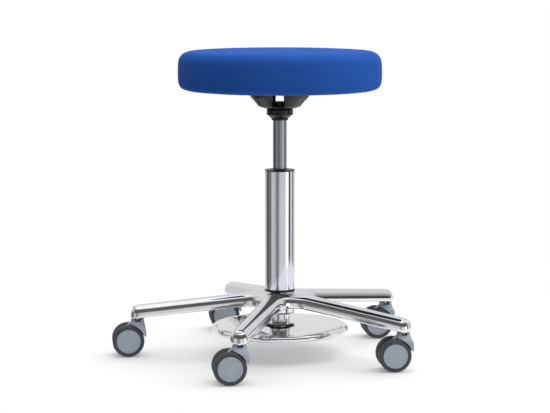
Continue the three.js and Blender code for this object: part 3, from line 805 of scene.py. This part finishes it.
baseLook = {
    "endWidth": 37.0,
    "endOverhang": 14.5,  # past the castor's axis
    "rootWidth": 44.0,
    "fillet": 37.0,  # between two arms, in plan
    "topAtAxis": 135.6,  # where an arm's straight top line meets the column axis
    "fall": 0.108,  # of that line, for each mm outwards
    "depth": 26.0,
    "wall": 4.5,
    "crown": 3.2,  # the edges lie this much under the middle line
    "edge": 9.0,  # an arm's long edges are rounded this far in
    "edgeFall": 15.0,  # and this far down
    "neck": 32.5,
    "flute": 4.5,  # depth of the hollows round the neck
    "hub": 30.0,
    "bore": 5.8,  # for a castor's stem
    "boss": 10.5,
    "lug": (6.4, 4.0),  # the lever's lugs, length and thickness
    "lugTop": 102.0,
    "sideSteps": 9,
    "endSteps": 14,
    "filletSteps": 14,
}
stemSpots = [middleOf(name + "_stem") - column for name in castorNames]
armAngles = [math.atan2(spot.y, spot.x) for spot in stemSpots]
armReach = sum(math.hypot(spot.x, spot.y) for spot in stemSpots) / armCount / mm


def armColumns():
    # the outline round one arm's end, down its side, through the hollow corner and up the next arm,
    # each as a function of the inset, with the point of the arm's middle line or neck that it leads to
    look = baseLook
    half = math.pi / armCount
    along = (look["rootWidth"] - look["endWidth"]) / 2 / armReach
    lean = math.hypot(1, along)
    tilt = math.atan(along)

    def endPoint(angle):
        def at(inset):
            width = look["endWidth"] / 2 - inset
            reach = look["endOverhang"] - inset
            return Vector((armReach + reach * lean * math.cos(angle), width * lean * math.sin(angle)))
        return at

    def cornerPoint(angle):
        def at(inset):
            fillet = look["fillet"] + inset
            root = look["rootWidth"] / 2 - inset
            reach = (root + fillet * lean) / (math.sin(half) + along * math.cos(half))
            return Vector((reach * math.cos(half) + fillet * math.cos(angle),
                           reach * math.sin(half) + fillet * math.sin(angle)))
        return at

    def between(first, last, share):
        return lambda inset: first(inset).lerp(last(inset), share)

    def mirrored(point):
        # the same place on the next arm's near side
        def at(inset):
            here = point(inset)
            return Matrix.Rotation(2 * half, 2) @ Vector((here.x, -here.y))
        return at

    columns = []
    for k in range(look["endSteps"] + 1):
        angle = -math.pi / 2 + tilt + (math.pi - 2 * tilt) * k / look["endSteps"]
        columns.append((endPoint(angle), Vector((armReach, 0))))
    last, root = columns[-1][0], cornerPoint(3 * math.pi / 2 - tilt)
    sides = []
    for k in range(1, look["sideSteps"]):
        point = between(last, root, k / look["sideSteps"])
        sides.append((point, Vector((point(0).x, 0))))
    columns += sides
    rootAlong = root(0).x
    steps = look["filletSteps"]
    middle = [Vector((rootAlong + (look["neck"] - rootAlong) * share, 0)) for share in (0, 0.3, 0.6, 1)]
    turnSteps = steps - 6
    ringPart = [Matrix.Rotation(2 * half * k / turnSteps, 2) @ middle[-1] for k in range(1, turnSteps)]
    path = middle + ringPart + [Matrix.Rotation(2 * half, 2) @ point for point in reversed(middle)]
    for k, lead in enumerate(path):
        angle = 3 * math.pi / 2 - tilt + (2 * half + 2 * tilt - math.pi) * k / (len(path) - 1)
        columns.append((cornerPoint(angle), lead))
    for point, lead in reversed(sides):
        columns.append((mirrored(point), Matrix.Rotation(2 * half, 2) @ lead))
    return columns


def makeBase():
    look = baseLook
    mesh = bmesh.new()
    columns = armColumns()
    edge, fall, depth, wall = look["edge"], look["edgeFall"], look["depth"], look["wall"]

    def topLine(point):
        return look["topAtAxis"] - look["fall"] * point.length

    rim = depth - look["crown"]
    roundStart = math.radians(12)
    rounding = [roundStart + (math.pi / 2 - roundStart) * k / 5 for k in range(6)]
    edgeRows = [(edge - edge * math.sin(a), fall - fall * math.cos(a)) for a in rounding]
    first = edgeRows[0]
    outerRows = edgeRows + [(0, fall + 2.5), (0, rim - 1), (0.9, rim)]
    innerRows = [(wall - 0.8, rim), (wall, rim - 1), (wall, 17), (wall + 0.6, 12), (wall + 3, 7),
                 (wall + 5, 5.2)]
    cache = {}

    def vertex(flat, height):
        key = (round(flat.x, 3), round(flat.y, 3), round(height, 3))
        if key not in cache:
            cache[key] = mesh.verts.new((flat.x * mm, flat.y * mm, height * mm))
        return cache[key]

    def column3d(point, lead, turn):
        start = point(first[0])
        line = []
        # 0 on an arm, a quarter turn halfway to the next
        between = math.atan2(lead.y, lead.x) * armCount / 2
        hollow = math.sin(between) ** 2 if lead.length < look["neck"] + 0.1 else 0.0
        for share in (0, 0.07, 0.15, 0.3, 0.55, 0.8):  # the top, from the middle line out
            flat = lead.lerp(start, share)
            flute = look["flute"] * (1 - math.exp(-share / 0.1)) * (1 - share) ** 0.5
            line.append((flat, topLine(flat) - look["crown"] * share ** 2 - hollow * flute))
        for inset, drop in outerRows + innerRows:
            flat = point(inset)
            line.append((flat, topLine(flat) - look["crown"] - drop))
        inner = point(innerRows[-1][0])
        for share in (0.7, 0.35, 0):  # the hollow underside, back to the middle line
            flat = lead.lerp(inner, share)
            line.append((flat, topLine(flat) - 5.4 - look["crown"] * share ** 2))
        return [vertex(turn @ flat, height) for flat, height in line]

    def fill(lines):
        for left, right in zip(lines, lines[1:]):
            for a, b, c, d in zip(left, left[1:], right[1:], right):
                corners = []
                for corner in (a, b, c, d):
                    if corner not in corners:
                        corners.append(corner)
                if len(corners) > 2:
                    mesh.faces.new(corners)

    lines = []
    for angle in armAngles:
        turn = Matrix.Rotation(angle, 2)
        lines += [column3d(point, lead, turn) for point, lead in columns]
    fill(lines + lines[:1])

    neck = look["neck"]
    hub = look["hub"]
    tall = topLine(Vector((neck, 0)))
    # the socket of the standpipe, the web under it, the sleeve's guide and the outside of the hub
    inner = [(31.2, tall - 0.1), (29, tall - 0.1), (26, tall - 0.1), (25.4, tall - 0.8), (25.4, 112),
             (25.4, 105), (24.6, 104.5), (12, 104.5), (9.4, 104.3), (9, 103.8), (9, 101), (9.5, 100.5),
             (19.5, 100.5), (20.8, 99.8), (20.8, 92), (20.8, 86), (21.6, 85), (28.8, 85),
             (hub, 86), (hub, 92), (hub, 110), (hub, 120), (hub + 1, 125)]
    angles = []
    steps = look["filletSteps"] - 6
    for angle in armAngles:
        angles += [angle + 2 * math.pi / armCount * k / steps for k in range(steps)]
    flat = [Vector((math.cos(a), math.sin(a))) for a in angles]
    rings = [[vertex(f * neck, tall) for f in flat]]
    rings += [[vertex(f * radius, height) for f in flat] for radius, height in inner]
    rings.append([vertex(f * neck, tall - 5.4) for f in flat])
    for upper, lower in zip(rings, rings[1:]):
        for k in range(len(flat)):
            mesh.faces.new((upper[k - 1], upper[k], lower[k], lower[k - 1]))
    bmesh.ops.recalc_face_normals(mesh, faces=mesh.faces[:])
    data = bpy.data.meshes.new("cast_base")
    mesh.to_mesh(data)
    mesh.free()
    base = bpy.data.objects.new("cast_base", data)
    bpy.context.scene.collection.objects.link(base)
    finer = base.modifiers.new("finer", "SUBSURF")
    finer.levels = finer.render_levels = 1
    applyAll(base)
    roof = look["topAtAxis"] - look["fall"] * armReach - 3
    bottom = span("castor_1_hood")[1] + 0.9
    bore, boss = look["bore"], look["boss"]
    outline = [[bore, roof - 4], [bore, bottom, 0.4], [boss, bottom, 0.8], [boss, roof - 1],
               [bore, roof - 1], [bore, roof - 4]]
    added = [moved(turned("socket", outline, 48), (spot.x, spot.y, 0)) for spot in stemSpots]
    added += [pivotLug(side) for side in (-1, 1)]
    cutBy(base, joined(added), operation="UNION")
    smoothed(onColumn(base), 40)
    dressed(base, "polished_aluminium", "base", "polished_aluminium", "star_base")


def pivotLug(side):
    # one of the two that hold the lever's pin, under the hub
    length, thickness = [size * mm for size in baseLook["lug"]]
    pin = middleOf("lever_pivot_pin")
    low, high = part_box("release_lever")
    across = (high.y - low.y) / 2 + 0.3 * mm + thickness / 2
    top, bottom = baseLook["lugTop"] * mm, pin.z - length / 2
    bpy.ops.object.select_all(action="DESELECT")
    bpy.ops.mesh.primitive_cube_add(size=1, location=(pin.x - column.x, side * across, (top + bottom) / 2))
    lug = bpy.context.object
    lug.scale = (length, thickness, top - bottom)
    bpy.ops.object.transform_apply(location=True, rotation=True, scale=True)
    bpy.ops.object.mode_set(mode="EDIT")
    bpy.ops.mesh.select_all(action="SELECT")
    bpy.ops.mesh.bevel(offset=0.0006, segments=2)
    bpy.ops.object.mode_set(mode="OBJECT")
    return lug


makeBase()
print("stage: cast base")


# the castor is modelled once about its swivel axis, with the wheels trailing to -X
wheelRadius = (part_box("castor_1_tyre_a")[1].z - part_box("castor_1_tyre_a")[0].z) / 2 / mm
acrossWheels = middleOf("castor_1_tyre_b") - middleOf("castor_1_tyre_a")
wheelApart = acrossWheels.length / mm
castorTurn = math.atan2(acrossWheels.y, acrossWheels.x) - math.pi / 2
axleSpot = (middleOf("castor_1_tyre_a") + middleOf("castor_1_tyre_b")) / 2 - middleOf("castor_1_stem")
castorTrail = math.hypot(axleSpot.x, axleSpot.y) / mm
castorLook = {
    "wheelWidth": 18.0,
    "capRadius": 24.4,
    "neck": 13.2,
    "width": 52.0,
    "reach": 16.5,
    "lip": 42.0,
    "clearance": 1.4,
    "rib": 14.0,
    "ribRadius": 27.0,
    "slotWidth": 11.0,
    "slotDepth": 4.8,
    "bevel": 0.7,
}


def slab(name, outline, width):
    # an outline in X and Z, pushed out both ways along Y
    bpy.ops.object.select_all(action="DESELECT")
    bpy.ops.mesh.primitive_circle_add(vertices=len(outline), radius=1, fill_type="NGON", location=(0, 0, 0))
    piece = bpy.context.object
    piece.name = piece.data.name = name
    ordered = sorted(piece.data.vertices, key=lambda v: v.index)
    for vertex, (x, z) in zip(ordered, outline):
        vertex.co = (x * mm, width / 2 * mm, z * mm)
    bpy.ops.object.mode_set(mode="EDIT")
    bpy.ops.mesh.select_all(action="SELECT")
    bpy.ops.mesh.extrude_region_move(TRANSFORM_OT_translate={"value": (0, -width * mm, 0)})
    bpy.ops.mesh.select_all(action="SELECT")
    bpy.ops.mesh.normals_make_consistent(inside=False)
    bpy.ops.object.mode_set(mode="OBJECT")
    return piece


def lying(piece, x, y, z):
    # a piece turned about +Z laid along Y
    return moved(piece, (x * mm, y * mm, z * mm), (-math.pi / 2, 0, 0))


def hoodShape():
    look = castorLook
    top = span("castor_1_hood")[1]
    inner = wheelRadius + look["clearance"]
    neck, reach, lip = look["neck"], look["reach"], look["lip"]
    lipX = -castorTrail + math.sqrt(inner ** 2 - (lip - wheelRadius) ** 2)
    under = [p for p in arc(-castorTrail, wheelRadius, inner, 80, 10, 22) if p[0] < lipX and p[1] > lip]
    outline = under + [[lipX, lip], [reach - 0.6, lip], [reach, lip + 0.8], [reach, lip + 8],
                       [reach - 0.4, lip + 14], [reach - 1.2, lip + 20], [neck + 0.4, top - 8],
                       [neck, top - 3], [neck, top], [-neck, top], [-neck, top - 6]]
    guard = slab("castor_hood", outline, look["width"])
    wide = look["width"]
    shoulder = turned("shoulder", [[0, 0], [wide, 0], [wide, top - 25], [wide / 2 + 6, top - 17, 8],
                                   [neck + 6, top - 10.5, 6], [neck + 0.6, top - 5, 5], [neck, top - 1],
                                   [neck, top, 0.6], [0, top]])
    collar = turned("neck", [[0, top - 15], [neck, top - 15], [neck, top], [0, top]], 64)
    cutBy(guard, collar, operation="UNION")
    cutBy(guard, shoulder, operation="INTERSECT")
    rib = slab("rib", arc(-castorTrail, wheelRadius, look["ribRadius"], 0, 360, 48)[:-1], look["rib"])
    bridge = slab("bridge", [[-castorTrail, wheelRadius], [reach - 4, lip], [neck - 1, top - 6],
                             [-neck, top - 6], [-castorTrail - 8, wheelRadius + 24]], look["rib"])
    cutBy(guard, rib, operation="UNION")
    cutBy(guard, bridge, operation="UNION")
    half = look["rib"] / 2
    for side in (-1, 1):
        room = turned("room", [[0, 0], [inner, 0], [inner, 30], [0, 30]], 96)
        lying(room, -castorTrail, side * half if side > 0 else -half - 30, wheelRadius)
        cutBy(guard, room)
    bpy.ops.object.select_all(action="DESELECT")
    bpy.ops.mesh.primitive_cube_add(size=1, location=(0, 0, top * mm))
    slot = bpy.context.object
    slot.scale = (look["slotWidth"] * mm, 0.06, 2 * look["slotDepth"] * mm)
    bpy.ops.object.transform_apply(location=True, rotation=True, scale=True)
    stemRoom = turned("stemRoom", [[0, top - 18], [4.3, top - 18], [4.3, top - look["slotDepth"]],
                                   [5.8, top - look["slotDepth"]], [5.8, top + 1], [0, top + 1]], 48)
    axleRoom = turned("axleRoom", [[0, -30], [3.3, -30], [3.3, 30], [0, 30]], 32)
    lying(axleRoom, -castorTrail, 0, wheelRadius)
    cutBy(guard, slot, stemRoom, axleRoom)
    bpy.ops.object.select_all(action="DESELECT")
    guard.select_set(True)
    bpy.context.view_layer.objects.active = guard
    bpy.ops.object.mode_set(mode="EDIT")
    bpy.ops.mesh.select_all(action="SELECT")
    bpy.ops.mesh.remove_doubles(threshold=2e-5)
    bpy.ops.mesh.dissolve_limited(angle_limit=math.radians(1))
    bpy.ops.object.mode_set(mode="OBJECT")
    bevel = guard.modifiers.new("edges", "BEVEL")
    bevel.width, bevel.segments = look["bevel"] * mm, 3
    bevel.limit_method, bevel.angle_limit = "ANGLE", math.radians(38)
    applyAll(guard)
    return smoothed(guard, 30)


def wheelShapes():
    look = castorLook
    half, cap = look["wheelWidth"] / 2, look["capRadius"]
    core = turned("castor_wheel", [
        [0, half - 0.9], [12, half - 0.8], [cap - 3.4, half - 0.5, 1.5], [cap - 2.2, half, 0.5],
        [cap - 0.15, half, 0.5], [cap - 0.15, -half + 1, 0.6], [cap - 4, -half + 1, 0.8],
        [cap - 5, -half + 5, 1], [9, -half + 5, 1], [8, -half + 0.4, 0.6], [3.4, -half + 0.4, 0.3],
        [3.4, half - 5], [0, half - 5],
    ])
    rim = wheelRadius
    tyre = turned("castor_tyre", [
        [cap + 0.2, 0], [cap + 0.2, -half + 0.6, 0.5], [cap + 2.5, -half, 1], [rim - 3.2, -half, 3.4],
        [rim, -half + 4.2, 4], [rim, half - 4.2, 4], [rim - 3.2, half, 3.4], [cap + 2.2, half, 1.2],
        [cap + 0.2, half - 0.9, 0.5], [cap + 0.2, 0],
    ])
    return smoothed(core), smoothed(tyre)


def stemShape():
    low, high, _ = span("castor_1_stem")
    top = span("castor_1_hood")[1] - castorLook["slotDepth"]
    outline = [[0, low], [4, low, 0.6], [4, top + 0.3, 0.2], [5.5, top + 0.3, 0.4], [5.5, top + 8],
               [5.1, top + 8.4], [5.1, top + 10], [5.5, top + 10.4], [5.5, high - 1.2, 0.6], [4.3, high],
               [0, high]]
    return smoothed(turned("castor_stem", outline, 48))


def makeCastors():
    hood, stem = hoodShape(), stemShape()
    wheel, tyre = wheelShapes()
    rolling = ((wheel, "_disc_", "grey_plastic", "_wheel_"), (tyre, "_tread_", "tyre_grey", "_tyre_"))
    offset = wheelApart / 2
    sides = {"a": (-offset, math.pi / 2), "b": (offset, -math.pi / 2)}
    for name, spot in zip(castorNames, stemSpots):
        place = (column.x + spot.x, column.y + spot.y, 0)
        turn = (0, 0, castorTurn)
        piece = moved(copyOf(hood, name + "_housing"), place, turn)
        dressed(piece, "grey_plastic", name, "grey_plastic", name + "_hood")
        piece = moved(copyOf(stem, name + "_pin"), place, turn)
        dressed(piece, "bright_steel", "base", "bright_steel", name + "_stem")
        for letter, (across, lay) in sides.items():
            for model, part, finish, old in rolling:
                piece = moved(copyOf(model, name + part + letter), turn=(lay, 0, 0))
                moved(piece, (-castorTrail * mm, across * mm, wheelRadius * mm))
                moved(piece, place, turn)
                dressed(piece, finish, name + "_wheel_" + letter, finish, name + old + letter)
    for model in (hood, stem, wheel, tyre):
        bpy.data.objects.remove(model)


makeCastors()
print("stage: castors")


plateLook = {
    "bead": 6.2,
    "beadHeight": 54.5,
    "thickness": 3.0,
    "sleeve": 20.5,
    "snapBand": 23.2,
    "snapEars": 4,
    "earShape": [(22, 4.2), (25.5, 2.1)],  # half of an ear's width at two radii
    "earTip": 0.5,
}


def makeFootParts():
    high, radius = span("foot_disc")[1:]
    bead, middle, thick = plateLook["bead"], plateLook["beadHeight"], plateLook["thickness"]
    sleeve = plateLook["sleeve"]
    hole, beadAt = sleeve + 0.3, radius - bead
    section = [[hole, high, 0.4], [beadAt - 7.5, high, 1.5], [beadAt - 4.6, high - 1.1, 1.2]]
    section += arc(beadAt, middle, bead, 116, -150, 24)
    section += [[beadAt - 5.6, middle - 1], [beadAt - 6.4, high - thick, 1.5], [hole, high - thick, 0.3]]
    disc = smoothed(onColumn(hoop("foot_plate_disc", section, 160)), 35)
    dressed(disc, "plate_steel", "foot_plate", "polished_aluminium", "foot_disc")

    low, high, flange = span("release_sleeve")
    outline = [[0, low], [flange, low, 0.6], [flange, low + 4, 0.6], [sleeve, low + 4], [sleeve, high, 0.9],
               [13, high, 0.5], [13, high - 3, 0.3], [17.5, high - 3], [17.5, low + 4, 0.8], [0, low + 4]]
    tube = smoothed(onColumn(turned("press_sleeve", outline)), 35)
    dressed(tube, "polished_aluminium", "foot_plate", "polished_aluminium", "release_sleeve")
    makeSnapRing()


def makeSnapRing():
    look = plateLook
    low, high, reach = span("retaining_ring")
    hole, band = look["sleeve"] + 0.3, look["snapBand"]
    ring = hoop("snap_ring", [[hole, low, 0.2], [band, low, 0.4], [band, high, 0.4], [hole, high, 0.2]])
    upper = [*look["earShape"], (reach, look["earTip"])]
    shape = [(x, -y) for x, y in upper] + upper[::-1]
    ears = []
    for k in range(look["snapEars"]):
        bpy.ops.object.select_all(action="DESELECT")
        bpy.ops.mesh.primitive_cylinder_add(vertices=6, radius=1, depth=1, location=(0, 0, 0))
        ear = bpy.context.object
        for vertex in ear.data.vertices:
            x, y = shape[vertex.index // 2]
            vertex.co = (x * mm, y * mm, (high - 0.05 if vertex.co.z > 0 else low + 0.05) * mm)
        bevel = ear.modifiers.new("edges", "BEVEL")
        bevel.width, bevel.segments = 0.35 * mm, 2
        applyAll(ear)
        ears.append(moved(ear, turn=(0, 0, 2 * math.pi / look["snapEars"] * k)))
    cutBy(ring, joined(ears), operation="UNION")
    smoothed(onColumn(ring), 35)
    dressed(ring, "black_enamel", "foot_plate", "black_enamel", "retaining_ring")


makeFootParts()
print("stage: foot release")


def dressInside():
    # what is inside keeps its own shape and only gets a finish
    for name, node in frame["nodes"].items():
        if node.hide_render:
            continue
        slotName = next((s["material_slot"] for s in frame["record"]["subparts"] if s["node"] == name), None)
        node.data.materials.clear()
        node.data.materials.append(finishes[slotName if slotName in finishes else "bright_steel"])


dressInside()
print("stage: inner pieces")
